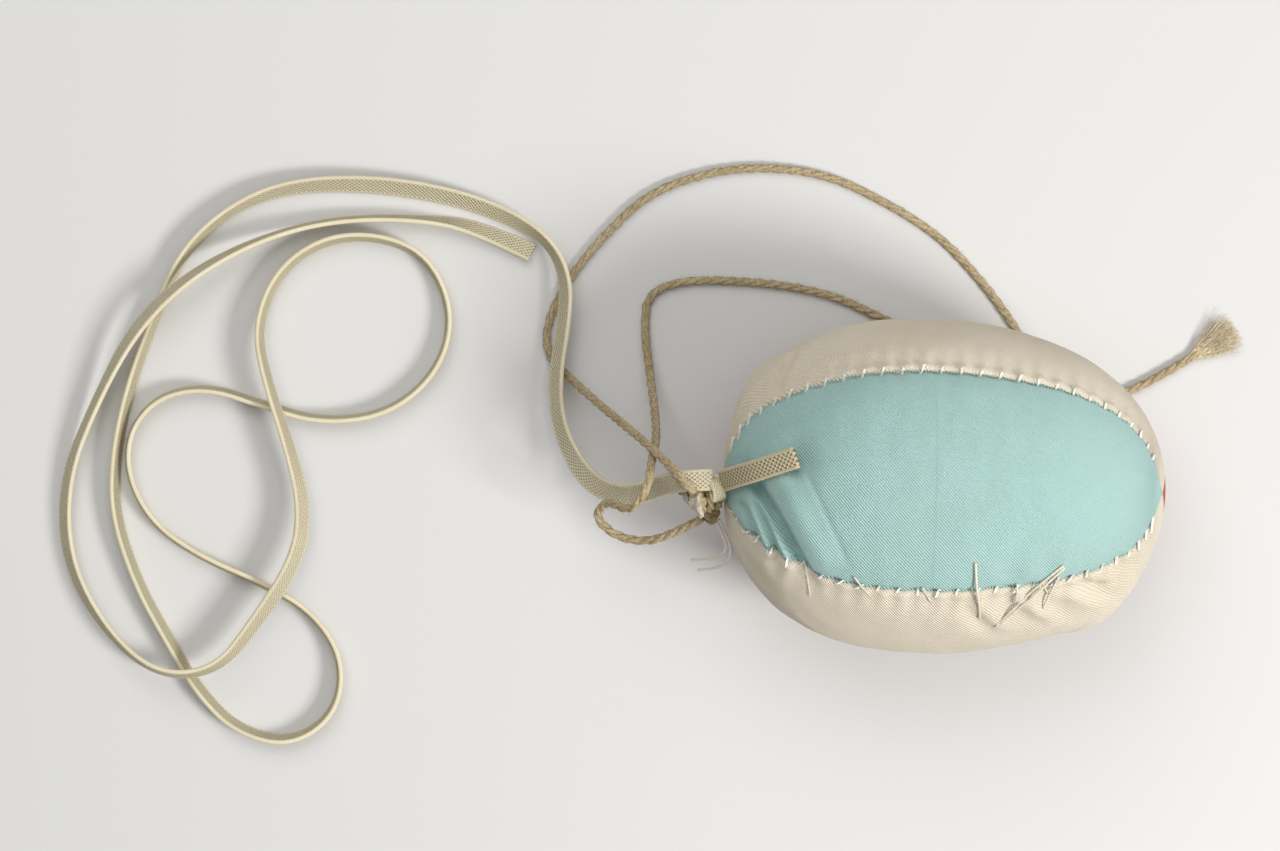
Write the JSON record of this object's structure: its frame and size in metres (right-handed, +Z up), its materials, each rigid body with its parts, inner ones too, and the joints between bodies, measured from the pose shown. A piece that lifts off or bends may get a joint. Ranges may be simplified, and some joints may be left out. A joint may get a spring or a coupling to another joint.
{
  "type": "herbal compress ball",
  "caption": "Stuffed cloth ball of coloured gores, whip-stitched, with its gathered neck tied in twine and flat tape.",
  "frame": {"origin": "on the ground under the middle of the tied ball, without its loose cords", "axes": "+X along the ball from its neck to its far end, +Z up, +Y across"},
  "size_m": [0.3751, 0.1881, 0.0964],
  "materials": {
    "aqua_twill": "woven",
    "cream_twill": "woven",
    "red_twill": "woven",
    "sewing_thread": "fibrous",
    "muslin": "woven",
    "dried_herbs": "fibrous",
    "twine": "fibrous",
    "cotton_tape": "woven",
    "frayed_twine": "fibrous"
  },
  "bodies": {
    "ball": {"panel_top": "aqua_twill", "panel_back": "cream_twill", "panel_front": "cream_twill", "panel_bottom": "red_twill", "stitches_top_back": "sewing_thread", "stitches_top_front": "sewing_thread", "stitches_bottom_back": "sewing_thread", "stitches_bottom_front": "sewing_thread", "seam_thread_tails": "sewing_thread", "lining_bag": "muslin", "herb_filling": "dried_herbs", "neck_tuft": "cream_twill", "neck_twine_wraps": "twine", "twine_knot": "twine", "binding_thread": "sewing_thread", "binding_tail_inner": "sewing_thread", "binding_tail_outer": "sewing_thread", "tape_knot": "cotton_tape", "tape_long": "cotton_tape", "twine_long": "twine", "twine_short": "twine", "twine_fray": "frayed_twine"},
    "tape_end": {"tape_tail": "cotton_tape"}
  },
  "joints": [
    {"name": "tape_tail_lift", "type": "hinge", "parent": "ball", "child": "tape_end", "pos_m": [-0.0612, 0.0003, 0.0642], "axis": [0.3562, -0.9344, 0], "range_deg": [0, 75]}
  ]
}
